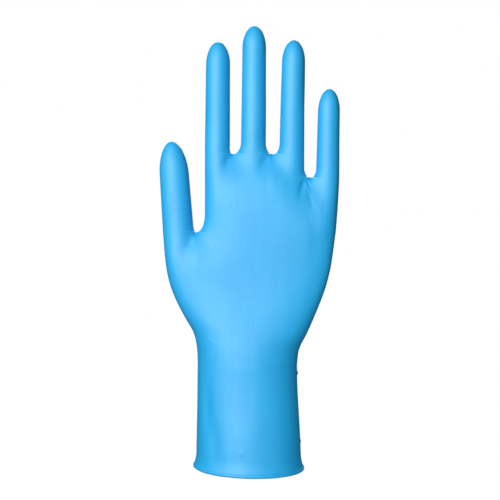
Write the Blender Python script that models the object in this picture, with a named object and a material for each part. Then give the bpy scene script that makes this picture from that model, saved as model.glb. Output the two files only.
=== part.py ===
"""A long-cuff nitrile exam glove in its worn shape: one dipped film with a rolled rim.

Metres, +Z from the hand opening to the fingertips, thumb at -X, front at -Y. The origin is the
centre of the hand opening, in the plane that the rim's roll stands on.
"""

import math
from collections import namedtuple

import bmesh
import bpy
from mathutils import Vector

# The film, and its rim, which flares a little, ends in a roll and falls towards the little finger
WALL = 0.001
ROLL_PROUD = 0.0008
RIM_FLARE = 0.0014
RIM_FLARE_LENGTH = 0.008
RIM_FALL = 0.002

# The cuff at the rim, and the wrist, which is its narrowest place
CUFF_WIDTH = 0.0712
CUFF_DEPTH = 0.0635
CUFF_LENGTH = 0.070
WRIST_WIDTH = 0.0675
WRIST_DEPTH = 0.050
WRIST_SHIFT = -0.001

# The hand: the heel reaches from the wrist to the thumb's web, the palm from there to the fingers
HEEL_LENGTH = 0.090
PALM_LENGTH = 0.053
PALM_DEPTH = 0.028
PALM_NARROWING = 0.0026
HAND_SHIFT = 0.0158
KNUCKLE_LENGTH = 0.048
VALLEY_LENGTH = 0.022
THUMB_VALLEY_LENGTH = 0.030
THUMB_ROOT_LENGTH = 0.045
LITTLE_WEB_DROP = 0.016

# The stalls, from the web beside each one to its tip
THUMB_LENGTH = 0.0616
INDEX_LENGTH = 0.0762
MIDDLE_LENGTH = 0.0870
RING_LENGTH = 0.0775
LITTLE_LENGTH = 0.0603
THUMB_WIDTH = 0.0210
FINGER_WIDTH = 0.0169
LITTLE_WIDTH = 0.0158
THUMB_DEPTH = 0.0190
FINGER_DEPTH = 0.0160
LITTLE_DEPTH = 0.0146
THUMB_DOME = 0.022
FINGER_DOME = 0.015

# The gaps between the stalls at their webs
THUMB_GAP = 0.0075
INDEX_GAP = 0.0077
MIDDLE_GAP = 0.0091
RING_GAP = 0.0081

FACES_ACROSS = 6
ROLL_STEPS = 6
CUFF_ROWS = 5
HEEL_ROWS = 9
PALM_ROWS = 4
STALL_ROWS = 5
DOME_ROWS = 5
CLOSEST_ROWS = 0.0009

# Powers: how square a section is, how late the palm narrows, how near itself a web draws the film
ROUND = 2.0
SLAB = 3.0
NARROWING_POWER = 1.3
WEB_PULL = 4.0

FRONT = -1
BACK = 1
SEAM = 0

ROLL_RADIUS = WALL / 2 + ROLL_PROUD
ROLL_TOP = ROLL_RADIUS + math.sqrt(ROLL_RADIUS**2 - (WALL / 2) ** 2)
WRIST_Z = CUFF_LENGTH
THUMB_WEB_Z = WRIST_Z + HEEL_LENGTH
FINGER_WEB_Z = THUMB_WEB_Z + PALM_LENGTH
LITTLE_WEB_Z = FINGER_WEB_Z - LITTLE_WEB_DROP

# taper is the width at the tip as a share of the width at the web, lean is in degrees towards +X
Digit = namedtuple("Digit", "name base length width depth dome taper lean")
DIGITS = (
    Digit("thumb", THUMB_WEB_Z, THUMB_LENGTH, THUMB_WIDTH, THUMB_DEPTH, THUMB_DOME, 0.92, -4.0),
    Digit("index", FINGER_WEB_Z, INDEX_LENGTH, FINGER_WIDTH, FINGER_DEPTH, FINGER_DOME, 0.96, 0.5),
    Digit("middle", FINGER_WEB_Z, MIDDLE_LENGTH, FINGER_WIDTH, FINGER_DEPTH, FINGER_DOME, 0.95, 0.45),
    Digit("ring", FINGER_WEB_Z, RING_LENGTH, FINGER_WIDTH, FINGER_DEPTH, FINGER_DOME, 0.92, 1.1),
    Digit("little", LITTLE_WEB_Z, LITTLE_LENGTH, LITTLE_WIDTH, LITTLE_DEPTH, FINGER_DOME, 0.92, 1.1),
)
THUMB, INDEX, LITTLE = 0, 1, 4

# low is where the web's lowest point lies across its gap, as a share from the thumb side, and rise
# is how far up a side bends into the web, as a share of how far it reaches out for it
Web = namedtuple("Web", "height gap low rise")
WEBS = (
    Web(THUMB_WEB_Z, THUMB_GAP, 0.25, 2.2),
    Web(FINGER_WEB_Z, INDEX_GAP, 0.31, 1.6),
    Web(FINGER_WEB_Z, MIDDLE_GAP, 0.52, 1.6),
    Web(LITTLE_WEB_Z, RING_GAP, 0.54, 1.6),
)

# From the wrist, 0, to the thumb's web, 1: how far each edge and the depth have changed by a rise
Heel = namedtuple("Heel", "rise left right depth")
HEELS = (
    Heel(0.00, 0.000, 0.000, 0.00),
    Heel(0.12, 0.020, 0.060, 0.10),
    Heel(0.24, 0.115, 0.260, 0.30),
    Heel(0.36, 0.370, 0.445, 0.55),
    Heel(0.48, 0.605, 0.615, 0.76),
    Heel(0.60, 0.785, 0.760, 0.90),
    Heel(0.75, 0.910, 0.880, 0.97),
    Heel(1.00, 1.000, 1.000, 1.00),
)

# Rows of faces as shares: up the rim's flare, down the valley under a web, and up by a web's gap
RIM_ROWS = (0.0, 0.35, 0.7, 1.0)
ROWS_UNDER_WEB = (0.07, 0.20, 0.42)
ROWS_OVER_WEB = (0.12, 0.40, 0.90)

NITRILE_BLUE = (0.075, 0.40, 0.84, 1.0)
NITRILE_ROUGHNESS = 0.42


def clamp(share):
    return min(1.0, max(0.0, share))


def mix(start, end, share):
    return start + (end - start) * share


def smooth(share):
    """0 to 1, level at both ends."""
    share = clamp(share)
    return share * share * (3 - 2 * share)


def arc(share):
    """0 to 1 along a quarter of an ellipse: upright at the start and level at the end."""
    return math.sqrt(1 - (1 - clamp(share)) ** 2)


def web_rise(share, nearness):
    """0 to 1 below a web: upright at the web itself, and level at both ends away from it."""
    return mix(smooth(share), arc(share), nearness)


def bulge(across, power):
    """Height over a section's width, across running from -1 to 1. A power of 2 gives an ellipse."""
    return max(0.0, 1 - abs(across) ** power) ** (1 / power)


def read_rows(rows, field, at):
    """A smooth curve through one column of a table, read at a value of its first column."""
    places = [row[0] for row in rows]
    values = [getattr(row, field) for row in rows]
    last = len(rows) - 1
    i = min(last - 1, max(0, sum(place <= at for place in places) - 1))

    def slope(k):
        low, high = max(0, k - 1), min(last, k + 1)
        return (values[high] - values[low]) / (places[high] - places[low])

    span = places[i + 1] - places[i]
    t = clamp((at - places[i]) / span)
    start = (1 + 2 * t) * (1 - t) ** 2 * values[i] + t * (1 - t) ** 2 * span * slope(i)
    end = t * t * (3 - 2 * t) * values[i + 1] - t * t * (1 - t) * span * slope(i + 1)
    return start + end


def stall_places():
    """X of each stall's centre at its base, with the row of fingers centred on HAND_SHIFT."""
    fingers = DIGITS[INDEX:]
    gaps = [web.gap for web in WEBS[INDEX:]]
    left = HAND_SHIFT - (sum(digit.width for digit in fingers) + sum(gaps)) / 2
    places = [left - THUMB_GAP - THUMB_WIDTH / 2]
    for digit, gap in zip(fingers, gaps + [0.0]):
        places.append(left + digit.width / 2)
        left += digit.width + gap
    return places


STALL_X = stall_places()


def stall_half(d, z, size):
    """Half the width or depth of a stall at a height: a slight taper under a round tip."""
    digit = DIGITS[d]
    up = clamp((z - digit.base) / digit.length)
    into_dome = clamp((z - digit.base - digit.length + digit.dome) / digit.dome)
    return size / 2 * mix(1.0, digit.taper, up) * math.sqrt(1 - into_dome**2)


def stall_centre(d, z):
    digit = DIGITS[d]
    return STALL_X[d] + math.tan(math.radians(digit.lean)) * max(0.0, z - digit.base)


def stall_side(d, sign, z):
    return stall_centre(d, z) + sign * stall_half(d, z, DIGITS[d].width)


WEB_X = [stall_side(k, 1, WEBS[k].height) + WEBS[k].low * WEBS[k].gap for k in range(len(WEBS))]


def side_at_web(d, k, sign, z):
    """X of a stall's side above web k: it leaves the web's lowest point and bends upright."""
    straight = stall_side(d, sign, z)
    rise = abs(straight - WEB_X[k]) * WEBS[k].rise
    return mix(WEB_X[k], straight, arc((z - WEBS[k].height) / max(rise, WALL)))


def hand_edges(z):
    """Left and right edge of the four fingers' palm, above the thumb's web."""
    narrow = clamp((LITTLE_WEB_Z - z) / (LITTLE_WEB_Z - THUMB_WEB_Z)) ** NARROWING_POWER
    return stall_side(INDEX, -1, FINGER_WEB_Z), stall_side(LITTLE, 1, z) - PALM_NARROWING * narrow


def body_section(z):
    """Left edge, right edge, depth and squareness of the glove from the rim to the thumb's web."""
    wrist = (WRIST_SHIFT - WRIST_WIDTH / 2, WRIST_SHIFT + WRIST_WIDTH / 2)
    if z >= WRIST_Z:
        rise = (z - WRIST_Z) / HEEL_LENGTH
        change = read_rows(HEELS, "depth", rise)
        hand = (stall_side(THUMB, -1, THUMB_WEB_Z), hand_edges(THUMB_WEB_Z)[1])
        left = mix(wrist[0], hand[0], read_rows(HEELS, "left", rise))
        right = mix(wrist[1], hand[1], read_rows(HEELS, "right", rise))
        return left, right, mix(WRIST_DEPTH, PALM_DEPTH, change), mix(ROUND, SLAB, change)
    up = smooth(z / CUFF_LENGTH)
    flare = RIM_FLARE * clamp(1 - (z - ROLL_TOP) / RIM_FLARE_LENGTH) ** 2
    left = mix(-CUFF_WIDTH / 2, wrist[0], up) - flare
    right = mix(CUFF_WIDTH / 2, wrist[1], up) + flare
    return left, right, mix(CUFF_DEPTH, WRIST_DEPTH, up) + 2 * flare, ROUND


def web_x(k, z):
    """X of the valley that runs down from web k."""
    if z >= THUMB_WEB_Z:
        if k == THUMB:
            return WEB_X[THUMB]
        left, right = hand_edges(WEBS[k].height)
        share = (WEB_X[k] - left) / (right - left)
        return mix(*hand_edges(z), share)
    left, right = body_section(THUMB_WEB_Z)[:2]
    share = (web_x(k, THUMB_WEB_Z) - left) / (right - left)
    return mix(*body_section(z)[:2], share)


def strip_edges(d, z):
    """Left and right edge of the strip of film that belongs to a stall, down to the rim."""
    if d == THUMB:
        left = stall_side(d, -1, z) if z >= THUMB_WEB_Z else body_section(z)[0]
    else:
        left = side_at_web(d, d - 1, -1, z) if z >= WEBS[d - 1].height else web_x(d - 1, z)
    if d == LITTLE:
        right = hand_edges(z)[1] if z >= THUMB_WEB_Z else body_section(z)[1]
    else:
        right = side_at_web(d, d, 1, z) if z >= WEBS[d].height else web_x(d, z)
    return left, right


def spread(d, column, z, left, right):
    """X of a column between its strip's edges. A web draws in only the columns close beside it."""
    across = (1 - math.cos(math.pi * column / FACES_ACROSS)) / 2
    below_left = smooth((WEBS[max(d - 1, THUMB)].height - z) / KNUCKLE_LENGTH)
    below_right = smooth((WEBS[min(d, LITTLE - 1)].height - z) / KNUCKLE_LENGTH)
    drawn_left = mix((1 - across) ** WEB_PULL, 1 - across, below_left)
    drawn_right = mix(across**WEB_PULL, across, below_right)
    low, high = stall_side(d, -1, z), stall_side(d, 1, z)
    return mix(low, high, across) + (left - low) * drawn_left + (right - high) * drawn_right


def column_x(d, column, z):
    """Columns crowd at a stall's sides and spread evenly round the cuff."""
    crowded = spread(d, column, z, *strip_edges(d, z))
    if z >= THUMB_WEB_Z:
        return crowded
    whole_turn = math.pi * (d + column / FACES_ACROSS) / len(DIGITS)
    even = mix(*body_section(z)[:2], (1 - math.cos(whole_turn)) / 2)
    return mix(crowded, even, smooth((THUMB_WEB_Z - z) / HEEL_LENGTH))


def valley(k, z, nearness):
    """Half the film's depth beside the valley under web k, nothing at the web itself."""
    below = WEBS[k].height - z
    neighbour = min(DIGITS[k].depth, DIGITS[k + 1].depth)
    crown = mix(neighbour, PALM_DEPTH, smooth(below / KNUCKLE_LENGTH)) / 2
    return crown * web_rise(below / VALLEY_LENGTH, nearness)


def slab_share(d, column, z):
    """Where a column lies across the hand, 0 to 1, as if the thumb's web didn't pull at its side."""
    z = max(z, THUMB_WEB_Z)
    low, high = hand_edges(z)
    left, right = strip_edges(d, z)
    if d == INDEX:
        left = low
    return (spread(d, column, z, left, right) - low) / (high - low)


def hand_depth(d, column, z):
    """Half depth of the four fingers and their palm: backs and valleys that ease into a slab."""
    turn = math.pi * column / FACES_ACROSS
    across, swell = (1 - math.cos(turn)) / 2, math.sin(turn)
    digit = DIGITS[d]
    foot = mix(
        digit.base if d == INDEX else WEBS[d - 1].height,
        digit.base if d == LITTLE else WEBS[d].height,
        across,
    )
    below = smooth((foot - z) / KNUCKLE_LENGTH)
    crown = mix(stall_half(d, z, digit.depth), PALM_DEPTH / 2, below)
    k = d - 1 if across < 0.5 else d
    edge = 0.0 if k in (THUMB, LITTLE) else valley(k, z, 1 - swell**2)
    slab = PALM_DEPTH / 2 * bulge(2 * slab_share(d, column, z) - 1, SLAB)
    return mix(math.hypot(crown * swell, edge * math.cos(turn)), slab, below)


def body_depth(d, column, z):
    """Half depth below the thumb's web, where the thumb's root and the palm ease into one oval."""
    left, right, depth, squareness = body_section(z)
    x = column_x(d, column, z)
    whole = depth / 2 * bulge(2 * (x - left) / (right - left) - 1, squareness)
    below = (THUMB_WEB_Z - z) / THUMB_ROOT_LENGTH
    if below >= 1:
        return whole
    into_valley = (THUMB_WEB_Z - z) / THUMB_VALLEY_LENGTH
    turn = math.pi * column / FACES_ACROSS
    if d == THUMB:
        crown = mix(THUMB_DEPTH / 2, depth / 2, smooth(below))
        dip = depth / 2 * web_rise(into_valley, math.cos(turn) ** 2)
        parted = math.hypot(crown * math.sin(turn), dip * max(0.0, -math.cos(turn)))
    else:
        web = column_x(INDEX, 0, z)
        palm = hand_depth(d, column, z)
        thin = 1 - (2 * palm / PALM_DEPTH) ** SLAB
        dip = depth / 2 * web_rise(into_valley, thin)
        added = (1 - (x - web) / (right - web)) * thin * dip**SLAB
        parted = (palm**SLAB + added) ** (1 / SLAB)
    return mix(parted, whole, smooth(below))


def rim_fall(x, z):
    """How much lower the film lies towards the little finger, at the rim and less up the cuff."""
    return RIM_FALL * x / CUFF_WIDTH * (1 - smooth(z / CUFF_LENGTH))


def film_point(d, column, side, z):
    """A point of the film's outer face. A seam point lies where front and back meet."""
    if side == SEAM:
        depth = 0.0
    elif z < THUMB_WEB_Z:
        depth = body_depth(d, column, z)
    elif d == THUMB:
        depth = stall_half(d, z, THUMB_DEPTH) * math.sin(math.pi * column / FACES_ACROSS)
    else:
        depth = hand_depth(d, column, z)
    x = column_x(d, column, z)
    return Vector((x, side * depth, z - rim_fall(x, z)))


def even_rows(start, end, count):
    """Heights after start, up to and with end."""
    return [mix(start, end, (i + 1) / count) for i in range(count)]


def body_rows():
    """Heights of the rows that run round the whole glove, from the rim to the fingers' webs."""
    webs = sorted({web.height for web in WEBS})
    rows = [ROLL_TOP + RIM_FLARE_LENGTH * share for share in RIM_ROWS]
    rows += even_rows(ROLL_TOP + RIM_FLARE_LENGTH, WRIST_Z, CUFF_ROWS)
    rows += even_rows(WRIST_Z, THUMB_WEB_Z - VALLEY_LENGTH / 2, HEEL_ROWS)
    rows += even_rows(THUMB_WEB_Z, LITTLE_WEB_Z, PALM_ROWS)
    for web in WEBS:
        rows += [web.height - VALLEY_LENGTH * share for share in ROWS_UNDER_WEB]
        rows += [web.height + web.gap * share for share in ROWS_OVER_WEB]
    kept = []
    for z in sorted(rows):
        clear_of_webs = all(abs(z - web) > CLOSEST_ROWS for web in webs)
        if clear_of_webs and z < FINGER_WEB_Z and (not kept or z - kept[-1] > CLOSEST_ROWS):
            kept.append(z)
    return sorted(kept + webs)


def stall_rows(d):
    """Heights of a stall's own rows, from above its web to the last ring under its tip."""
    digit = DIGITS[d]
    gap = WEBS[min(d, LITTLE - 1)].gap
    dome_foot = digit.base + digit.length - digit.dome
    rows = [digit.base + gap * share for share in ROWS_OVER_WEB]
    rows += even_rows(rows[-1], dome_foot, STALL_ROWS)
    for i in range(1, DOME_ROWS):
        rows.append(dome_foot + digit.dome * math.sin(math.pi / 2 * i / DOME_ROWS))
    return rows


def film_faces(bm):
    """The outer face of the film, open at the rim. Returns the ring of vertices round the rim."""
    shared_rows = body_rows()
    made = {}

    def vertex(d, column, side, z):
        key = (d, column)
        outer = (d == THUMB and column == 0) or (d == LITTLE and column == FACES_ACROSS)
        k = d - 1 if column == 0 else d
        if outer:
            side = SEAM
        elif column in (0, FACES_ACROSS):
            if z >= WEBS[k].height:
                side = SEAM
            if z <= WEBS[k].height:
                key = ("web", k)
        if (key, side, z) not in made:
            made[key, side, z] = bm.verts.new(film_point(d, column, side, z))
        return made[key, side, z]

    for d, digit in enumerate(DIGITS):
        rows = [z for z in shared_rows if z <= digit.base] + stall_rows(d)
        tip_z = digit.base + digit.length
        tip = bm.verts.new((stall_centre(d, tip_z), 0.0, tip_z))
        for side in (FRONT, BACK):
            for column in range(FACES_ACROSS):
                for low, high in zip(rows, rows[1:]):
                    corners = (
                        vertex(d, column, side, low),
                        vertex(d, column + 1, side, low),
                        vertex(d, column + 1, side, high),
                        vertex(d, column, side, high),
                    )
                    bm.faces.new(corners[::-side])
                top = (vertex(d, column, side, rows[-1]), vertex(d, column + 1, side, rows[-1]), tip)
                bm.faces.new(top[::-side])
    columns = [(d, c) for d in range(len(DIGITS)) for c in range(FACES_ACROSS)]
    front = [vertex(d, c, FRONT, shared_rows[0]) for d, c in columns]
    back = [vertex(d, c, BACK, shared_rows[0]) for d, c in columns[1:]]
    far = vertex(LITTLE, FACES_ACROSS, SEAM, shared_rows[0])
    return front + [far] + back[::-1]


def add_wall_and_roll(bm, rim):
    """The film's inner face, a wall's thickness inside the outer one, and the roll that joins them."""
    bm.normal_update()
    outer_faces = list(bm.faces)
    inner = {}
    outward = {}
    for vert in rim:
        outward[vert] = Vector((vert.normal.x, vert.normal.y, 0.0)).normalized()
    for vert in list(bm.verts):
        inner[vert] = bm.verts.new(vert.co - WALL * outward.get(vert, vert.normal))
    for face in outer_faces:
        bm.faces.new([inner[vert] for vert in reversed(face.verts)])

    start = math.acos(WALL / 2 / ROLL_RADIUS)
    rings = [rim]
    for step in range(1, ROLL_STEPS):
        angle = start - (math.pi + 2 * start) * step / ROLL_STEPS
        ring = []
        for vert in rim:
            centre = vert.co - outward[vert] * WALL / 2
            centre.z -= ROLL_TOP - ROLL_RADIUS
            spoke = outward[vert] * math.cos(angle) + Vector((0, 0, math.sin(angle)))
            ring.append(bm.verts.new(centre + ROLL_RADIUS * spoke))
        rings.append(ring)
    rings.append([inner[vert] for vert in rim])
    for upper, lower in zip(rings, rings[1:]):
        for i in range(len(rim)):
            bm.faces.new((upper[i - 1], lower[i - 1], lower[i], upper[i]))


def nitrile():
    material = bpy.data.materials.new("nitrile_film")
    material.use_nodes = True
    shader = material.node_tree.nodes["Principled BSDF"]
    shader.inputs["Base Color"].default_value = NITRILE_BLUE
    shader.inputs["Roughness"].default_value = NITRILE_ROUGHNESS
    shader.inputs["Metallic"].default_value = 0.0
    return material


def make_glove():
    bm = bmesh.new()
    rim = film_faces(bm)
    add_wall_and_roll(bm, rim)
    bmesh.ops.recalc_face_normals(bm, faces=bm.faces)
    mesh = bpy.data.meshes.new("glove")
    bm.to_mesh(mesh)
    bm.free()
    mesh.shade_smooth()
    mesh.materials.append(nitrile())
    glove = bpy.data.objects.new("glove", mesh)
    bpy.context.scene.collection.objects.link(glove)
    return glove


for old in list(bpy.data.objects):
    bpy.data.objects.remove(old)
make_glove()
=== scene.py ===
# %% [markdown]
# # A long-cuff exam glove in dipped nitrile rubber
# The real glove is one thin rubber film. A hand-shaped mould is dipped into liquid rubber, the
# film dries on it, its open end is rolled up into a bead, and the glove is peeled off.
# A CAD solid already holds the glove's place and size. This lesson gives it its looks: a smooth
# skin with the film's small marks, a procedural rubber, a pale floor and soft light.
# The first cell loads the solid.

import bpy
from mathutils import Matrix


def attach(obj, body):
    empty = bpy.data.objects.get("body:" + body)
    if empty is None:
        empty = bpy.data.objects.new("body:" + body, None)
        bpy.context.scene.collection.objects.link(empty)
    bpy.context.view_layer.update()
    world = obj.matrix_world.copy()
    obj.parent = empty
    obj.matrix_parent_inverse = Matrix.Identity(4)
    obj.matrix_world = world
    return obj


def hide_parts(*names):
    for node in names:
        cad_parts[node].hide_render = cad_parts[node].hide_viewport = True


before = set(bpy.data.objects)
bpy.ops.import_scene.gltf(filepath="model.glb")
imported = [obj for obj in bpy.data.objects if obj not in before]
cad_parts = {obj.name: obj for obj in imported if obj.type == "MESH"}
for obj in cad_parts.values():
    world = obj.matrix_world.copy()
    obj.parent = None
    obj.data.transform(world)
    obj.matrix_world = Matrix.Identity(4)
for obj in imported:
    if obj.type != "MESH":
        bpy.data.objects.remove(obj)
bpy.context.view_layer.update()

# %% [markdown]
# ## Tools
# Everything below uses plain Python, Blender's mesh editor bmesh and its vectors. The sizes are
# the solid's own, in metres: the skin could be copied off the solid's faces, but drawing it again
# from the same sizes gives as many faces as a close look needs.

# %% Imports
import math
from collections import namedtuple
from functools import lru_cache

import bmesh
import bpy
from mathutils import Vector, noise

MM = 0.001

# %% [markdown]
# ## The camera
# The glove is held upright and seen level from the front. The photograph's frame is 340 mm wide at
# the glove. A camera could be set by its lens in millimetres, but a distance and a frame width say
# the same in sizes that can be measured, so the angle is worked out from them.

# %% Camera
VIEW_DISTANCE = 0.640
VIEW_WIDTH = 0.340
VIEW_CENTRE = Vector((0.0008, 0.0, 0.1478))

camera_data = bpy.data.cameras.new("view_camera")
camera_data.sensor_fit = "HORIZONTAL"
camera_data.angle = 2 * math.atan(VIEW_WIDTH / 2 / VIEW_DISTANCE)
camera = bpy.data.objects.new("view_camera", camera_data)
camera.location = VIEW_CENTRE - Vector((0.0, VIEW_DISTANCE, 0.0))
camera.rotation_euler = (math.radians(90), 0.0, 0.0)
bpy.context.scene.collection.objects.link(camera)
bpy.context.scene.camera = camera
print("angle of view:", round(math.degrees(camera_data.angle), 2), "degrees")

# %% [markdown]
# ## The sizes of the film
# These are the sizes that someone could measure on a worn glove: the film and its bead, the cuff,
# the wrist, the hand and the five stalls. They are the solid's, so the skin lies right over it.

# %% Film and cuff
WALL = 0.001
ROLL_PROUD = 0.0008
RIM_FLARE = 0.0014
RIM_FLARE_LENGTH = 0.008
RIM_FALL = 0.002
CUFF_WIDTH = 0.0712
CUFF_DEPTH = 0.0635
CUFF_LENGTH = 0.070
WRIST_WIDTH = 0.0675
WRIST_DEPTH = 0.050
WRIST_SHIFT = -0.001
ROLL_RADIUS = WALL / 2 + ROLL_PROUD
ROLL_TOP = ROLL_RADIUS + math.sqrt(ROLL_RADIUS**2 - (WALL / 2) ** 2)

# %% Hand
HEEL_LENGTH = 0.090
PALM_LENGTH = 0.053
PALM_DEPTH = 0.028
PALM_NARROWING = 0.0026
HAND_SHIFT = 0.0158
KNUCKLE_LENGTH = 0.048
VALLEY_LENGTH = 0.022
THUMB_VALLEY_LENGTH = 0.030
THUMB_ROOT_LENGTH = 0.045
LITTLE_WEB_DROP = 0.016
WRIST_Z = CUFF_LENGTH
THUMB_WEB_Z = WRIST_Z + HEEL_LENGTH
FINGER_WEB_Z = THUMB_WEB_Z + PALM_LENGTH
LITTLE_WEB_Z = FINGER_WEB_Z - LITTLE_WEB_DROP

# %% [markdown]
# Each stall is a row of a table: where its web lies, how long, wide and deep it is, how long its
# round tip is, how much it narrows and which way it leans. Each web between two stalls is a row
# of another: its height, its gap, where its lowest point lies across the gap, and how its sides
# bend into it. A last table says how the wrist opens into the hand.

# %% Stalls and webs
Digit = namedtuple("Digit", "name base length width depth dome taper lean")
DIGITS = (
    Digit("thumb", THUMB_WEB_Z, 0.0616, 0.0210, 0.0190, 0.022, 0.92, -4.0),
    Digit("index", FINGER_WEB_Z, 0.0762, 0.0169, 0.0160, 0.015, 0.96, 0.5),
    Digit("middle", FINGER_WEB_Z, 0.0870, 0.0169, 0.0160, 0.015, 0.95, 0.45),
    Digit("ring", FINGER_WEB_Z, 0.0775, 0.0169, 0.0160, 0.015, 0.92, 1.1),
    Digit("little", LITTLE_WEB_Z, 0.0603, 0.0158, 0.0146, 0.015, 0.92, 1.1),
)
THUMB, INDEX, LITTLE = 0, 1, 4

Web = namedtuple("Web", "height gap low rise")
WEBS = (
    Web(THUMB_WEB_Z, 0.0075, 0.25, 2.2),
    Web(FINGER_WEB_Z, 0.0077, 0.31, 1.6),
    Web(FINGER_WEB_Z, 0.0091, 0.52, 1.6),
    Web(LITTLE_WEB_Z, 0.0081, 0.54, 1.6),
)

Heel = namedtuple("Heel", "rise left right depth")
HEELS = (
    Heel(0.00, 0.000, 0.000, 0.00),
    Heel(0.12, 0.020, 0.060, 0.10),
    Heel(0.24, 0.115, 0.260, 0.30),
    Heel(0.36, 0.370, 0.445, 0.55),
    Heel(0.48, 0.605, 0.615, 0.76),
    Heel(0.60, 0.785, 0.760, 0.90),
    Heel(0.75, 0.910, 0.880, 0.97),
    Heel(1.00, 1.000, 1.000, 1.00),
)
print("stalls:", ", ".join(digit.name for digit in DIGITS))

# %% [markdown]
# ## Curves that the film follows
# A stretched film has no corners, so every change of width or depth is eased in and out. These
# few curves do all of that, and one of them reads a smooth line through a table's column.

# %% Easing curves
ROUND = 2.0
SLAB = 3.0


def clamp(share):
    return min(1.0, max(0.0, share))


def mix(start, end, share):
    return start + (end - start) * share


def smooth(share):
    """0 to 1, level at both ends."""
    share = clamp(share)
    return share * share * (3 - 2 * share)


def arc(share):
    """0 to 1 along a quarter of an ellipse: upright at the start and level at the end."""
    return math.sqrt(1 - (1 - clamp(share)) ** 2)


def web_rise(share, nearness):
    """0 to 1 below a web: upright at the web itself, and level at both ends away from it."""
    return mix(smooth(share), arc(share), nearness)


def bulge(across, power):
    """Height over a section's width, across running from -1 to 1. A power of 2 gives an ellipse."""
    return max(0.0, 1 - abs(across) ** power) ** (1 / power)


def read_rows(rows, field, at):
    """A smooth curve through one column of a table, read at a value of its first column."""
    places = [row[0] for row in rows]
    values = [getattr(row, field) for row in rows]
    last = len(rows) - 1
    i = min(last - 1, max(0, sum(place <= at for place in places) - 1))

    def slope(k):
        low, high = max(0, k - 1), min(last, k + 1)
        return (values[high] - values[low]) / (places[high] - places[low])

    span = places[i + 1] - places[i]
    t = clamp((at - places[i]) / span)
    start = (1 + 2 * t) * (1 - t) ** 2 * values[i] + t * (1 - t) ** 2 * span * slope(i)
    end = t * t * (3 - 2 * t) * values[i + 1] - t * t * (1 - t) * span * slope(i + 1)
    return start + end


# %% [markdown]
# ## The stalls
# A finger stall is a slightly tapered tube with an oval section and a round tip. The four finger
# stalls stand side by side with their gaps, and the thumb's stands outside them.

# %% Stalls
def stall_places():
    """X of each stall's centre at its base, with the row of fingers centred on HAND_SHIFT."""
    fingers = DIGITS[INDEX:]
    gaps = [web.gap for web in WEBS[INDEX:]]
    left = HAND_SHIFT - (sum(digit.width for digit in fingers) + sum(gaps)) / 2
    places = [left - WEBS[THUMB].gap - DIGITS[THUMB].width / 2]
    for digit, gap in zip(fingers, gaps + [0.0]):
        places.append(left + digit.width / 2)
        left += digit.width + gap
    return places


STALL_X = stall_places()


def stall_half(d, z, size):
    """Half the width or depth of a stall at a height: a slight taper under a round tip."""
    digit = DIGITS[d]
    up = clamp((z - digit.base) / digit.length)
    into_dome = clamp((z - digit.base - digit.length + digit.dome) / digit.dome)
    return size / 2 * mix(1.0, digit.taper, up) * math.sqrt(1 - into_dome**2)


def stall_centre(d, z):
    digit = DIGITS[d]
    return STALL_X[d] + math.tan(math.radians(digit.lean)) * max(0.0, z - digit.base)


def stall_side(d, sign, z):
    return stall_centre(d, z) + sign * stall_half(d, z, DIGITS[d].width)


WEB_X = [stall_side(k, 1, WEBS[k].height) + WEBS[k].low * WEBS[k].gap for k in range(len(WEBS))]


def side_at_web(d, k, sign, z):
    """X of a stall's side above web k: it leaves the web's lowest point and bends upright."""
    straight = stall_side(d, sign, z)
    rise = abs(straight - WEB_X[k]) * WEBS[k].rise
    return mix(WEB_X[k], straight, arc((z - WEBS[k].height) / max(rise, WALL)))


print("stall centres at their bases, mm:", [round(x / MM, 1) for x in STALL_X])

# %% [markdown]
# ## The hand and the cuff
# Below the webs the five tubes run together. A sculptor would blend them by hand, and a remesh
# could fuse them, but both lose the exact outline. Here each section is worked out instead: its
# two edges, its depth, and a squareness that turns the round wrist into the flat palm.

# %% Hand and cuff sections
NARROWING_POWER = 1.3


@lru_cache(maxsize=None)
def hand_edges(z):
    """Left and right edge of the four fingers' palm, above the thumb's web."""
    narrow = clamp((LITTLE_WEB_Z - z) / (LITTLE_WEB_Z - THUMB_WEB_Z)) ** NARROWING_POWER
    return stall_side(INDEX, -1, FINGER_WEB_Z), stall_side(LITTLE, 1, z) - PALM_NARROWING * narrow


@lru_cache(maxsize=None)
def body_section(z):
    """Left edge, right edge, depth and squareness of the glove from the rim to the thumb's web."""
    wrist = (WRIST_SHIFT - WRIST_WIDTH / 2, WRIST_SHIFT + WRIST_WIDTH / 2)
    if z >= WRIST_Z:
        rise = (z - WRIST_Z) / HEEL_LENGTH
        change = read_rows(HEELS, "depth", rise)
        hand = (stall_side(THUMB, -1, THUMB_WEB_Z), hand_edges(THUMB_WEB_Z)[1])
        left = mix(wrist[0], hand[0], read_rows(HEELS, "left", rise))
        right = mix(wrist[1], hand[1], read_rows(HEELS, "right", rise))
        return left, right, mix(WRIST_DEPTH, PALM_DEPTH, change), mix(ROUND, SLAB, change)
    up = smooth(z / CUFF_LENGTH)
    flare = RIM_FLARE * clamp(1 - (z - ROLL_TOP) / RIM_FLARE_LENGTH) ** 2
    left = mix(-CUFF_WIDTH / 2, wrist[0], up) - flare
    right = mix(CUFF_WIDTH / 2, wrist[1], up) + flare
    return left, right, mix(CUFF_DEPTH, WRIST_DEPTH, up) + 2 * flare, ROUND


@lru_cache(maxsize=None)
def web_x(k, z):
    """X of the valley that runs down from web k."""
    if z >= THUMB_WEB_Z:
        if k == THUMB:
            return WEB_X[THUMB]
        left, right = hand_edges(WEBS[k].height)
        share = (WEB_X[k] - left) / (right - left)
        return mix(*hand_edges(z), share)
    left, right = body_section(THUMB_WEB_Z)[:2]
    share = (web_x(k, THUMB_WEB_Z) - left) / (right - left)
    return mix(*body_section(z)[:2], share)


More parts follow.
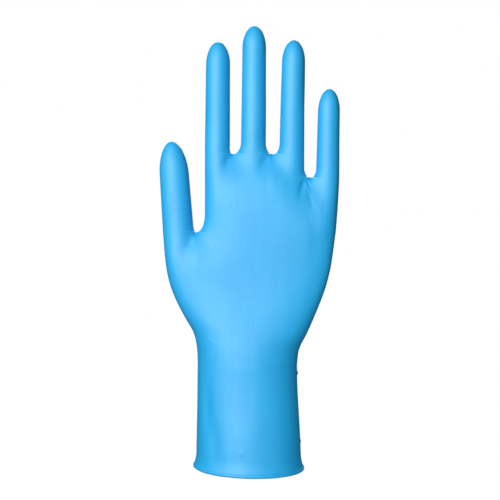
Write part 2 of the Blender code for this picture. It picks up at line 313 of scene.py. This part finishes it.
@lru_cache(maxsize=None)
def strip_edges(d, z):
    """Left and right edge of the strip of film that belongs to a stall, down to the rim."""
    if d == THUMB:
        left = stall_side(d, -1, z) if z >= THUMB_WEB_Z else body_section(z)[0]
    else:
        left = side_at_web(d, d - 1, -1, z) if z >= WEBS[d - 1].height else web_x(d - 1, z)
    if d == LITTLE:
        right = hand_edges(z)[1] if z >= THUMB_WEB_Z else body_section(z)[1]
    else:
        right = side_at_web(d, d, 1, z) if z >= WEBS[d].height else web_x(d, z)
    return left, right


# %% [markdown]
# The film is drawn as a comb: five strips, one for each stall, run side by side from the rim up
# to the fingertips. Across a strip the columns crowd at its sides, where a stall curves most.
# A web draws the film in towards its lowest point. The higher WEB_PULL is, the fewer of the
# columns beside it follow.

# %% Columns and depths
FACES_ACROSS = 18
WEB_PULL = 4.0


def spread(d, column, z, left, right):
    """X of a column between its strip's edges. A web draws in only the columns beside it."""
    across = (1 - math.cos(math.pi * column / FACES_ACROSS)) / 2
    below_left = smooth((WEBS[max(d - 1, THUMB)].height - z) / KNUCKLE_LENGTH)
    below_right = smooth((WEBS[min(d, LITTLE - 1)].height - z) / KNUCKLE_LENGTH)
    drawn_left = mix((1 - across) ** WEB_PULL, 1 - across, below_left)
    drawn_right = mix(across**WEB_PULL, across, below_right)
    low, high = stall_side(d, -1, z), stall_side(d, 1, z)
    return mix(low, high, across) + (left - low) * drawn_left + (right - high) * drawn_right


def column_x(d, column, z):
    """Columns crowd at a stall's sides and spread evenly round the cuff."""
    crowded = spread(d, column, z, *strip_edges(d, z))
    if z >= THUMB_WEB_Z:
        return crowded
    whole_turn = math.pi * (d + column / FACES_ACROSS) / len(DIGITS)
    even = mix(*body_section(z)[:2], (1 - math.cos(whole_turn)) / 2)
    return mix(crowded, even, smooth((THUMB_WEB_Z - z) / HEEL_LENGTH))


def valley(k, z, nearness):
    """Half the film's depth beside the valley under web k, nothing at the web itself."""
    below = WEBS[k].height - z
    neighbour = min(DIGITS[k].depth, DIGITS[k + 1].depth)
    crown = mix(neighbour, PALM_DEPTH, smooth(below / KNUCKLE_LENGTH)) / 2
    return crown * web_rise(below / VALLEY_LENGTH, nearness)


def slab_share(d, column, z):
    """Where a column lies across the hand, 0 to 1, as if the thumb's web didn't pull at it."""
    z = max(z, THUMB_WEB_Z)
    low, high = hand_edges(z)
    left, right = strip_edges(d, z)
    if d == INDEX:
        left = low
    return (spread(d, column, z, left, right) - low) / (high - low)


def hand_depth(d, column, z):
    """Half depth of the four fingers and their palm: backs and valleys that ease into a slab."""
    turn = math.pi * column / FACES_ACROSS
    across, swell = (1 - math.cos(turn)) / 2, math.sin(turn)
    digit = DIGITS[d]
    foot = mix(
        digit.base if d == INDEX else WEBS[d - 1].height,
        digit.base if d == LITTLE else WEBS[d].height,
        across,
    )
    below = smooth((foot - z) / KNUCKLE_LENGTH)
    crown = mix(stall_half(d, z, digit.depth), PALM_DEPTH / 2, below)
    k = d - 1 if across < 0.5 else d
    edge = 0.0 if k in (THUMB, LITTLE) else valley(k, z, 1 - swell**2)
    slab = PALM_DEPTH / 2 * bulge(2 * slab_share(d, column, z) - 1, SLAB)
    return mix(math.hypot(crown * swell, edge * math.cos(turn)), slab, below)


def body_depth(d, column, z):
    """Half depth below the thumb's web, where the thumb's root and the palm ease into one oval."""
    left, right, depth, squareness = body_section(z)
    x = column_x(d, column, z)
    whole = depth / 2 * bulge(2 * (x - left) / (right - left) - 1, squareness)
    below = (THUMB_WEB_Z - z) / THUMB_ROOT_LENGTH
    if below >= 1:
        return whole
    into_valley = (THUMB_WEB_Z - z) / THUMB_VALLEY_LENGTH
    turn = math.pi * column / FACES_ACROSS
    if d == THUMB:
        crown = mix(DIGITS[THUMB].depth / 2, depth / 2, smooth(below))
        dip = depth / 2 * web_rise(into_valley, math.cos(turn) ** 2)
        parted = math.hypot(crown * math.sin(turn), dip * max(0.0, -math.cos(turn)))
    else:
        web = column_x(INDEX, 0, z)
        palm = hand_depth(d, column, z)
        thin = 1 - (2 * palm / PALM_DEPTH) ** SLAB
        dip = depth / 2 * web_rise(into_valley, thin)
        added = (1 - (x - web) / (right - web)) * thin * dip**SLAB
        parted = (palm**SLAB + added) ** (1 / SLAB)
    return mix(parted, whole, smooth(below))


# %% [markdown]
# A point of the film comes from its strip, its column, its side and its height. At a seam, where
# front and back meet, the depth is nothing. The rim hangs a little lower at the little finger.

# %% A point of the film
FRONT = -1
BACK = 1
SEAM = 0


def rim_fall(x, z):
    """How much lower the film lies towards the little finger, at the rim and less up the cuff."""
    return RIM_FALL * x / CUFF_WIDTH * (1 - smooth(z / CUFF_LENGTH))


def film_point(d, column, side, z):
    if side == SEAM:
        depth = 0.0
    elif z < THUMB_WEB_Z:
        depth = body_depth(d, column, z)
    elif d == THUMB:
        depth = stall_half(d, z, DIGITS[THUMB].depth) * math.sin(math.pi * column / FACES_ACROSS)
    else:
        depth = hand_depth(d, column, z)
    x = column_x(d, column, z)
    return Vector((x, side * depth, z - rim_fall(x, z)))


# %% [markdown]
# Rows of faces lie closest where the film turns most: at the flared rim, round each web and over
# the fingertips. Elsewhere they are spread evenly, about 2 mm apart.

# %% Rows
CUFF_ROWS = 28
HEEL_ROWS = 40
PALM_ROWS = 22
STALL_ROWS = 28
DOME_ROWS = 16
CLOSEST_ROWS = 0.0003
RIM_ROWS = (0.0, 0.1, 0.2, 0.3, 0.4, 0.5, 0.6, 0.7, 0.8, 0.9, 1.0)
ROWS_UNDER_WEB = (0.015, 0.04, 0.07, 0.11, 0.16, 0.22, 0.29, 0.37, 0.46, 0.56, 0.67, 0.79, 0.90)
ROWS_OVER_WEB = (0.025, 0.06, 0.11, 0.17, 0.24, 0.33, 0.44, 0.57, 0.71, 0.85, 1.0)


def even_rows(start, end, count):
    """Heights after start, up to and with end."""
    return [mix(start, end, (i + 1) / count) for i in range(count)]


def body_rows():
    """Heights of the rows that run round the whole glove, from the rim to the fingers' webs."""
    webs = sorted({web.height for web in WEBS})
    rows = [ROLL_TOP + RIM_FLARE_LENGTH * share for share in RIM_ROWS]
    rows += even_rows(ROLL_TOP + RIM_FLARE_LENGTH, WRIST_Z, CUFF_ROWS)
    rows += even_rows(WRIST_Z, THUMB_WEB_Z - VALLEY_LENGTH / 2, HEEL_ROWS)
    rows += even_rows(THUMB_WEB_Z, LITTLE_WEB_Z, PALM_ROWS)
    for web in WEBS:
        rows += [web.height - VALLEY_LENGTH * share for share in ROWS_UNDER_WEB]
        rows += [web.height + web.gap * share for share in ROWS_OVER_WEB]
    kept = []
    for z in sorted(rows):
        clear_of_webs = all(abs(z - web) > CLOSEST_ROWS for web in webs)
        if clear_of_webs and z < FINGER_WEB_Z and (not kept or z - kept[-1] > CLOSEST_ROWS):
            kept.append(z)
    return sorted(kept + webs)


def stall_rows(d):
    """Heights of a stall's own rows, from above its web to the last ring under its tip."""
    digit = DIGITS[d]
    gap = WEBS[min(d, LITTLE - 1)].gap
    dome_foot = digit.base + digit.length - digit.dome
    rows = [digit.base + gap * share for share in ROWS_OVER_WEB]
    rows += even_rows(rows[-1], dome_foot, STALL_ROWS)
    for i in range(1, DOME_ROWS):
        rows.append(dome_foot + digit.dome * math.sin(math.pi / 2 * i / DOME_ROWS))
    return rows


# %% [markdown]
# ## The outer face
# Each strip is filled with four-sided faces, front and back. Below a web, neighbouring strips
# share their edge column. Above it each stall's front and back close along a seam, so the tube
# is whole. A tip is a fan of triangles round one point.

# %% Outer face
def draw_film(bm):
    """The outer face of the film, open at the rim."""
    shared_rows = body_rows()
    made = {}

    def vertex(d, column, side, z):
        key = (d, column)
        outer = (d == THUMB and column == 0) or (d == LITTLE and column == FACES_ACROSS)
        k = d - 1 if column == 0 else d
        if outer:
            side = SEAM
        elif column in (0, FACES_ACROSS):
            if z >= WEBS[k].height:
                side = SEAM
            if z <= WEBS[k].height:
                key = ("web", k)
        if (key, side, z) not in made:
            made[key, side, z] = bm.verts.new(film_point(d, column, side, z))
        return made[key, side, z]

    for d, digit in enumerate(DIGITS):
        rows = [z for z in shared_rows if z <= digit.base] + stall_rows(d)
        tip_z = digit.base + digit.length
        tip = bm.verts.new((stall_centre(d, tip_z), 0.0, tip_z))
        for side in (FRONT, BACK):
            for column in range(FACES_ACROSS):
                for low, high in zip(rows, rows[1:]):
                    corners = (
                        vertex(d, column, side, low),
                        vertex(d, column + 1, side, low),
                        vertex(d, column + 1, side, high),
                        vertex(d, column, side, high),
                    )
                    bm.faces.new(corners[::-side])
                last = rows[-1]
                top = (vertex(d, column, side, last), vertex(d, column + 1, side, last), tip)
                bm.faces.new(top[::-side])


film = bmesh.new()
draw_film(film)
glove_mesh = bpy.data.meshes.new("glove_skin")
film.to_mesh(glove_mesh)
film.free()
glove_skin = bpy.data.objects.new("glove_skin", glove_mesh)
bpy.context.scene.collection.objects.link(glove_skin)
print("faces drawn:", len(glove_mesh.polygons))

# %% [markdown]
# Under each web two strips meet in a crease. A stretched film bridges such a crease, so the points
# beside it are drawn half-way towards the middle of their neighbours, again and again. The web
# itself stays, and the reach widens below it.

# %% Soft valleys
SOFT_REACH = 0.006
SOFT_TOP = 0.0012
SOFT_SHARE = 0.5
SOFT_ROUNDS = 16


def in_valley(point):
    for k, web in enumerate(WEBS):
        below = web.height - point.z
        if SOFT_TOP < below < KNUCKLE_LENGTH:
            reach = SOFT_REACH * smooth(below / SOFT_REACH)
            if abs(point.x - column_x(k, FACES_ACROSS, point.z)) < reach:
                return True
    return False


def soften_valleys(bm):
    verts = [vert for vert in bm.verts if in_valley(vert.co)]
    axes = {"use_axis_x": True, "use_axis_y": True, "use_axis_z": True}
    for _ in range(SOFT_ROUNDS):
        bmesh.ops.smooth_vert(bm, verts=verts, factor=SOFT_SHARE, **axes)
    return len(verts)


# %% [markdown]
# ## Small marks of the film
# A dipped film keeps marks: dents where the worn cuff sags and beside the webs, a crease under
# the little finger's web, thin lines in the palm, a bubble near the rim and two nibs of dried
# rubber on the side.
# They could be painted as bump, but then they would vanish at the outline, so they move the
# skin's points. A mark is a soft oval dent, given by its place on the front, its half length and
# half width, its turn from upright in degrees, and its depth, which is negative where it stands
# proud.

# %% Marks
Mark = namedtuple("Mark", "name x z length width turn deep")
MARKS = (
    Mark("cuff_sag_high", -0.0280, 0.0437, 0.0150, 0.0030, 2, 0.00090),
    Mark("cuff_sag_low", -0.0235, 0.0238, 0.0140, 0.0042, -6, 0.00090),
    Mark("cuff_fold", 0.0005, 0.0490, 0.0200, 0.0030, 0, 0.00016),
    Mark("bubble", -0.0047, 0.0158, 0.0018, 0.0016, 0, -0.00022),
    Mark("wrist_line", -0.0254, 0.0878, 0.0022, 0.0006, -54, -0.00018),
    Mark("palm_line", 0.0158, 0.1395, 0.0022, 0.0005, -53, 0.00014),
    Mark("palm_tick_left", 0.0039, 0.1374, 0.0014, 0.0004, 0, 0.00012),
    Mark("palm_tick_low", -0.0042, 0.1107, 0.0012, 0.0004, 30, 0.00012),
    Mark("heel_tick", 0.0034, 0.1001, 0.0022, 0.0004, 5, 0.00012),
    Mark("index_line", -0.0111, 0.1781, 0.0030, 0.0006, 14, 0.00012),
    Mark("little_line", 0.0406, 0.1681, 0.0022, 0.0005, -14, 0.00012),
    Mark("web_crease", 0.0404, 0.1925, 0.0030, 0.0007, -24, 0.00038),
    Mark("web_fold", 0.0412, 0.1822, 0.0060, 0.0014, -14, 0.00022),
    Mark("palm_edge_fold", 0.0450, 0.1560, 0.0180, 0.0040, -4, 0.00025),
    Mark("ring_tip_band", 0.0300, 0.2800, 0.0010, 0.0090, 0, -0.00012),
    Mark("index_web_dent", -0.0142, 0.2085, 0.0045, 0.0021, 23, 0.00085),
    Mark("middle_web_dent", 0.0109, 0.2080, 0.0045, 0.0021, 28, 0.00085),
    Mark("ring_web_dent", 0.0362, 0.1905, 0.0065, 0.0022, 15, 0.00080),
    Mark("thumb_web_dent", -0.0394, 0.1530, 0.0048, 0.0024, 2, 0.00060),
)

Nib = namedtuple("Nib", "x y z radius proud")
NIBS = (
    Nib(0.0330, -0.0015, 0.0644, 0.0010, 0.0009),
    Nib(0.0353, -0.0015, 0.0184, 0.0008, 0.0006),
)

# %% [markdown]
# The skin's faces are 1 to 2 mm across, too wide for a line half a millimetre wide. So the faces
# round each small mark are cut finer first, and the rest of the skin stays light.

# %% Finer faces round the small marks
FINE_BELOW = 0.0020
FINE_CUTS = 3
FINE_MARGIN = 2.2


def near_small_mark(point):
    for mark in MARKS:
        reach = FINE_MARGIN * mark.length
        if mark.width < FINE_BELOW and point.y < 0:
            if math.hypot(point.x - mark.x, point.z - mark.z) < reach:
                return True
    return any((point - Vector(nib[:3])).length < FINE_MARGIN * nib.radius for nib in NIBS)


def cut_finer(bm):
    faces = [face for face in bm.faces if near_small_mark(face.calc_center_median())]
    edges = {edge for face in faces for edge in face.edges}
    bmesh.ops.subdivide_edges(bm, edges=list(edges), cuts=FINE_CUTS, use_grid_fill=True, smooth=0.0)


# %% [markdown]
# Besides its marks the film is never quite even. Broad waves, some drawn out upright where the
# wet rubber ran off the mould, move the skin by about a tenth of a millimetre.

# %% Moving the skin
WAVE_SIZE = 24 * MM
WAVE_HEIGHT = 0.14 * MM
RUN_SIZE = 7 * MM
RUN_STRETCH = 6.0
RUN_HEIGHT = 0.05 * MM
FULLY_IN_FRONT = 1 / 3


def unevenness(point):
    wave = noise.noise(point / WAVE_SIZE)
    run = noise.noise(Vector((point.x, point.y, point.z / RUN_STRETCH)) / RUN_SIZE)
    return WAVE_HEIGHT * wave + RUN_HEIGHT * run


def mark_height(point, facing):
    """How far the marks lift the skin at a point. facing is 1 in front and 0 at the sides."""
    height = 0.0
    for mark in MARKS:
        turn = math.radians(mark.turn)
        right, up = point.x - mark.x, point.z - mark.z
        along = (right * math.sin(turn) + up * math.cos(turn)) / mark.length
        across = (right * math.cos(turn) - up * math.sin(turn)) / mark.width
        height -= mark.deep * math.exp(-along * along - across * across) * facing
    for nib in NIBS:
        away = (point - Vector(nib[:3])).length / nib.radius
        height += nib.proud * math.exp(-away * away)
    return height


def move_skin(bm):
    """The marks show on the front, and fade where the skin turns away from it."""
    moves = []
    for vert in bm.verts:
        facing = smooth(-vert.normal.y / FULLY_IN_FRONT)
        moves.append(vert.normal * (unevenness(vert.co) + mark_height(vert.co, facing)))
    for vert, move in zip(bm.verts, moves):
        vert.co += move
    return max(move.length for move in moves)


# %% [markdown]
# ## Wall and rolled rim
# A solidify modifier could thicken the skin, but it can't roll the rim. So the inner face is a
# copy of the outer one, moved in along its normals, and a tube of faces rolls from the outer
# face round to the inner one. The bead is a little thicker in some places than in others.

# %% Wall and roll
ROLL_STEPS = 12
ROLL_WAVE_SIZE = 9 * MM
ROLL_WAVE = 0.08


def rim_ring(bm):
    """The open edge's vertices in order round the rim."""
    nexts = {}
    for edge in bm.edges:
        if edge.is_boundary:
            loop = edge.link_loops[0]
            nexts[loop.vert] = loop.link_loop_next.vert
    ring = [next(iter(nexts))]
    while nexts[ring[-1]] is not ring[0]:
        ring.append(nexts[ring[-1]])
    return ring


def add_wall_and_roll(bm):
    bm.normal_update()
    rim = rim_ring(bm)
    outer_faces = list(bm.faces)
    outward = {vert: Vector((vert.normal.x, vert.normal.y, 0.0)).normalized() for vert in rim}
    inner = {}
    for vert in list(bm.verts):
        inner[vert] = bm.verts.new(vert.co - WALL * outward.get(vert, vert.normal))
    for face in outer_faces:
        bm.faces.new([inner[vert] for vert in reversed(face.verts)])

    start = math.acos(WALL / 2 / ROLL_RADIUS)
    rings = [rim]
    for step in range(1, ROLL_STEPS):
        angle = start - (math.pi + 2 * start) * step / ROLL_STEPS
        wave = ROLL_WAVE * math.sin(math.pi * step / ROLL_STEPS)
        ring = []
        for vert in rim:
            fuller = 1 + wave * noise.noise(vert.co / ROLL_WAVE_SIZE)
            centre = vert.co - outward[vert] * WALL / 2
            centre.z -= ROLL_TOP - ROLL_RADIUS
            spoke = outward[vert] * math.cos(angle) + Vector((0, 0, math.sin(angle)))
            ring.append(bm.verts.new(centre + ROLL_RADIUS * fuller * spoke))
        rings.append(ring)
    rings.append([inner[vert] for vert in rim])
    for upper, lower in zip(rings, rings[1:]):
        for i in range(len(rim)):
            bm.faces.new((upper[i - 1], lower[i - 1], lower[i], upper[i]))
    return len(rim)


skin = bmesh.new()
skin.from_mesh(glove_skin.data)
softened = soften_valleys(skin)
cut_finer(skin)
skin.normal_update()
deepest = move_skin(skin)
round_rim = add_wall_and_roll(skin)
bmesh.ops.recalc_face_normals(skin, faces=skin.faces)
skin.to_mesh(glove_skin.data)
skin.free()
glove_skin.data.shade_smooth()
print("points softened in the valleys:", softened)
print("largest move, mm:", round(deepest / MM, 2), "points round the rim:", round_rim)
print("faces of the glove:", len(glove_skin.data.polygons))

# %% [markdown]
# ## The rubber
# Nitrile rubber is acrylonitrile butadiene, coloured through with a blue pigment. The film takes
# the fine sandblasted surface of its mould, so it looks matt: light spreads over it in a broad
# soft sheen. Where it dried thicker it is a deeper blue. Typical values are an IOR of about 1.52,
# no metal, and a roughness near 0.5. They are the start, and the gloss cell matches them to the
# glove.
# One function turns a hex colour into the linear one that Blender reckons with, and another adds
# a node with its settings and links.

# %% Colour and nodes
def linear(hex_colour):
    """An sRGB hex colour, such as "1DAAEE", as linear red, green, blue and alpha."""
    channels = [int(hex_colour[i:i + 2], 16) / 255 for i in (0, 2, 4)]
    red, green, blue = (
        c / 12.92 if c <= 0.04045 else ((c + 0.055) / 1.055) ** 2.4 for c in channels
    )
    return red, green, blue, 1.0


def add_node(tree, kind, inputs=None, **settings):
    """A new node. An input is a value, or another node's output to link to."""
    node = tree.nodes.new(kind)
    for name, value in settings.items():
        setattr(node, name, value)
    for name, value in (inputs or {}).items():
        if isinstance(value, bpy.types.NodeSocket):
            tree.links.new(value, node.inputs[name])
        else:
            node.inputs[name].default_value = value
    return node


# %% [markdown]
# Three patterns make the film. Clouds about 26 mm across and upright runs about 5 mm apart say
# where it is thicker, which changes the blue and the roughness a little. A grain is the mould's
# blasted surface: its real grit is near 0.1 mm, too fine to show, so it is drawn 0.6 mm wide.
# A Mix node has an A and a B for each kind of data, and their names find the pair in use.

# %% Nitrile rubber
CLOUD_SIZE = 26 * MM
RUN_SPACING = 5 * MM
RUN_SQUEEZE = 0.12
RUN_SHARE = 0.35
THIN_AT, THICK_AT = 0.3, 0.7
THIN_FILM = "06B2F0"
THICK_FILM = "02A8EA"

nitrile = bpy.data.materials.new("nitrile_rubber_dipped")
nitrile.use_nodes = True
tree = nitrile.node_tree
shader = tree.nodes["Principled BSDF"]
place = add_node(tree, "ShaderNodeTexCoord").outputs["Object"]
clouds = add_node(
    tree,
    "ShaderNodeTexNoise",
    {"Vector": place, "Scale": 1 / CLOUD_SIZE, "Detail": 2.0, "Roughness": 0.5},
)
drawn_out = add_node(
    tree, "ShaderNodeMapping", {"Vector": place, "Scale": (1.0, 1.0, RUN_SQUEEZE)}
)
runs = add_node(
    tree,
    "ShaderNodeTexNoise",
    {"Vector": drawn_out.outputs["Vector"], "Scale": 1 / RUN_SPACING, "Detail": 1.0},
)
thickness = add_node(
    tree,
    "ShaderNodeMix",
    {"Factor": RUN_SHARE, "A": clouds.outputs["Fac"], "B": runs.outputs["Fac"]},
    data_type="FLOAT",
)
blue = add_node(
    tree,
    "ShaderNodeMapRange",
    {"Value": thickness.outputs["Result"], "From Min": THIN_AT, "From Max": THICK_AT},
)
colour = add_node(
    tree,
    "ShaderNodeMix",
    {"Factor": blue.outputs["Result"], "A": linear(THIN_FILM), "B": linear(THICK_FILM)},
    data_type="RGBA",
)
tree.links.new(colour.outputs["Result"], shader.inputs["Base Color"])
print(nitrile.name, "colours", linear(THIN_FILM), linear(THICK_FILM))

# %% [markdown]
# Roughness follows the thickness a little, and the grain is a fine bump. Roughness near 0.6, an
# IOR of 1.58 and a high specular level give the bright bands on the fingers their breadth and
# strength. A sheen layer could too, but it would pale the dark edges.

# %% Gloss and grain
SOFT_GLOSS = (0.58, 0.64)
GLOSS_LEVEL = 0.9
RUBBER_IOR = 1.58
GRAIN_SIZE = 0.6 * MM
GRAIN_HEIGHT = 0.02 * MM
GRAIN_STRENGTH = 0.5

gloss = add_node(
    tree,
    "ShaderNodeMapRange",
    {"Value": thickness.outputs["Result"], "To Min": SOFT_GLOSS[0], "To Max": SOFT_GLOSS[1]},
)
tree.links.new(gloss.outputs["Result"], shader.inputs["Roughness"])
grain = add_node(
    tree, "ShaderNodeTexNoise", {"Vector": place, "Scale": 1 / GRAIN_SIZE, "Detail": 2.0}
)
bumped = add_node(
    tree,
    "ShaderNodeBump",
    {"Height": grain.outputs["Fac"], "Strength": GRAIN_STRENGTH, "Distance": GRAIN_HEIGHT},
)
tree.links.new(bumped.outputs["Normal"], shader.inputs["Normal"])
shader.inputs["Metallic"].default_value = 0.0
shader.inputs["IOR"].default_value = RUBBER_IOR
shader.inputs["Specular IOR Level"].default_value = GLOSS_LEVEL
glove_skin.data.materials.clear()
glove_skin.data.materials.append(nitrile)
print("roughness:", SOFT_GLOSS, "IOR:", RUBBER_IOR)

# %% [markdown]
# ## The floor
# The glove is held up at its opening, so nothing of it touches the floor. A wide pale disc lies
# well below. It glows by itself, so that it stays white far from the lamps, and it lights nothing.

# %% Floor
FLOOR_DROP = 1.20
FLOOR_RADIUS = 9.0
FLOOR_SIDES = 96
PAPER_WHITE = "F4F4F4"
PAPER_ROUGHNESS = 0.9
PAPER_GLOW = 0.95

floor_bm = bmesh.new()
bmesh.ops.create_circle(floor_bm, cap_ends=True, radius=FLOOR_RADIUS, segments=FLOOR_SIDES)
floor_mesh = bpy.data.meshes.new("studio_floor")
floor_bm.to_mesh(floor_mesh)
floor_bm.free()
floor = bpy.data.objects.new("studio_floor", floor_mesh)
floor.location.z = -FLOOR_DROP
bpy.context.scene.collection.objects.link(floor)
paper = bpy.data.materials.new("white_paper_matt")
paper.use_nodes = True
paper_shader = paper.node_tree.nodes["Principled BSDF"]
paper_shader.inputs["Base Color"].default_value = linear(PAPER_WHITE)
paper_shader.inputs["Roughness"].default_value = PAPER_ROUGHNESS
paper_shader.inputs["Specular IOR Level"].default_value = 0.0
paper_shader.inputs["Emission Color"].default_value = linear("FFFFFF")
paper_shader.inputs["Emission Strength"].default_value = PAPER_GLOW
floor_mesh.materials.append(paper)
floor.visible_diffuse = False
floor.visible_glossy = False
print("floor:", FLOOR_DROP, "m below the opening,", 2 * FLOOR_RADIUS, "m wide")

# %% [markdown]
# ## The light
# One large soft lamp stands in front, to the left and a little above. It puts the bright band on
# the left of each finger and leaves the right side deep blue. A weak even light fills the shade.
# A small card low on the right throws some light back on the cuff, as a pale table would, and
# hardly any on the fingers. A lamp behind shows the back in the views from there. It stands high,
# so that its gloss doesn't whiten the glove's outline seen from the front. A lamp's power is
# worked out from the brightness that it gives at the glove, so it can move without a change of
# exposure.

# %% Lamps
Lamp = namedtuple("Lamp", "name azimuth elevation distance width height brightness gloss")
LAMPS = (
    Lamp("key_lamp", -24, 16, 1.1, 0.8, 0.66, 1.01, True),
    Lamp("back_lamp", 175, 32, 1.6, 0.7, 0.6, 0.90, True),
    Lamp("low_card", 70, -45, 0.36, 0.2, 0.2, 0.15, False),
)
LIGHT_CENTRE = Vector((0.0, 0.0, 0.15))

for lamp in LAMPS:
    data = bpy.data.lights.new(lamp.name, "AREA")
    data.shape = "RECTANGLE"
    data.size, data.size_y = lamp.width, lamp.height
    data.energy = lamp.brightness * 4 * math.pi * lamp.distance**2
    azimuth, elevation = math.radians(lamp.azimuth), math.radians(lamp.elevation)
    out = math.cos(elevation)
    towards = Vector((math.sin(azimuth) * out, -math.cos(azimuth) * out, math.sin(elevation)))
    light = bpy.data.objects.new(lamp.name, data)
    light.location = LIGHT_CENTRE + lamp.distance * towards
    light.rotation_euler = towards.to_track_quat("Z", "Y").to_euler()
    light.visible_camera = False
    light.visible_glossy = lamp.gloss
    bpy.context.scene.collection.objects.link(light)
    print(lamp.name, round(data.energy, 1), "W")

# %% [markdown]
# The room is white where it is looked at, and dim where it lights the glove, as behind a
# photographer's white backdrop. The world's shader asks which kind of ray has reached it.

# %% Room
ROOM_FILL = 0.07
ROOM_GLOSS = 0.0

world = bpy.data.worlds.new("studio_room")
bpy.context.scene.world = world
world.use_nodes = True
room = world.node_tree
room.nodes.clear()
ray = add_node(room, "ShaderNodeLightPath")
indirect = add_node(
    room,
    "ShaderNodeMix",
    {"Factor": ray.outputs["Is Glossy Ray"], "A": ROOM_FILL, "B": ROOM_GLOSS},
    data_type="FLOAT",
)
shown = add_node(
    room,
    "ShaderNodeMix",
    {"Factor": ray.outputs["Is Camera Ray"], "A": indirect.outputs["Result"], "B": 1.0},
    data_type="FLOAT",
)
background = add_node(
    room, "ShaderNodeBackground", {"Color": linear("FFFFFF"), "Strength": shown.outputs["Result"]}
)
add_node(room, "ShaderNodeOutputWorld", {"Surface": background.outputs["Background"]})
bpy.context.scene.view_settings.view_transform = "Standard"
bpy.context.scene.view_settings.look = "None"
print("room's fill:", ROOM_FILL, "of white")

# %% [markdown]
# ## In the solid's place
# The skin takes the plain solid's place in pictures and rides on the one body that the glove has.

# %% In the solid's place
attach(glove_skin, "root")
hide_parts("glove")
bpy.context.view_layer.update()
